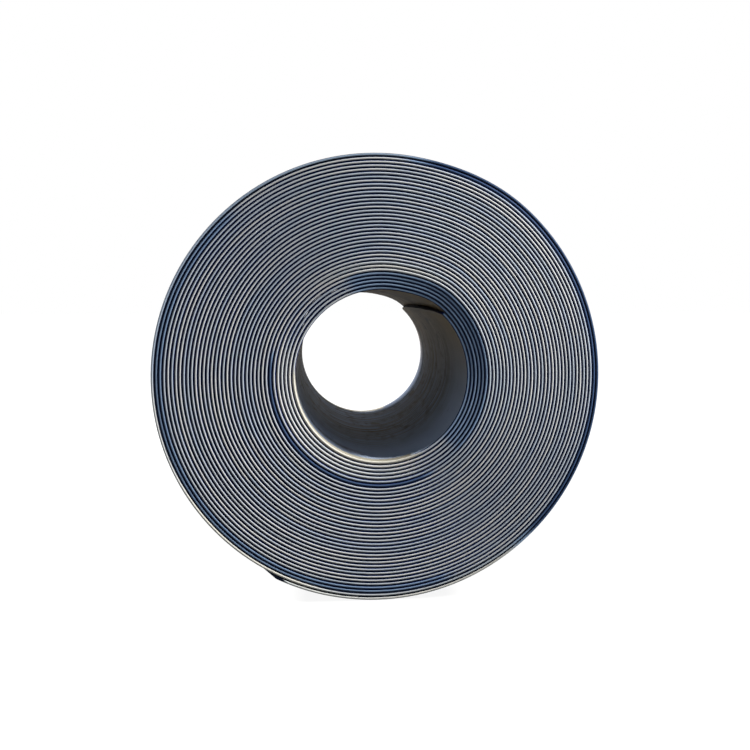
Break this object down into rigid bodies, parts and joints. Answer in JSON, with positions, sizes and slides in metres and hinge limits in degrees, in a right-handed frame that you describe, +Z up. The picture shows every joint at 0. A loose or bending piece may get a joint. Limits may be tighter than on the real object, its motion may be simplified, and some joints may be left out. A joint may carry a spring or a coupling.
{
  "type": "steel coil",
  "caption": "Coil of hot-rolled strip steel: a broad ring wound from one thick plate strip, with an open eye and the wraps showing on both ends.",
  "frame": {"origin": "on the axis of the eye, at the middle of the strip's width", "axes": "+Z up as the coil lies on its side, the eye along Y with the front end facing -Y, +X to the right seen from the front"},
  "size_m": [1.9755, 1.5, 1.9767],
  "materials": {
    "hot_rolled_steel": "hot-rolled mill scale"
  },
  "bodies": {
    "root": {"steel_coil": "hot_rolled_steel"}
  },
  "joints": []
}
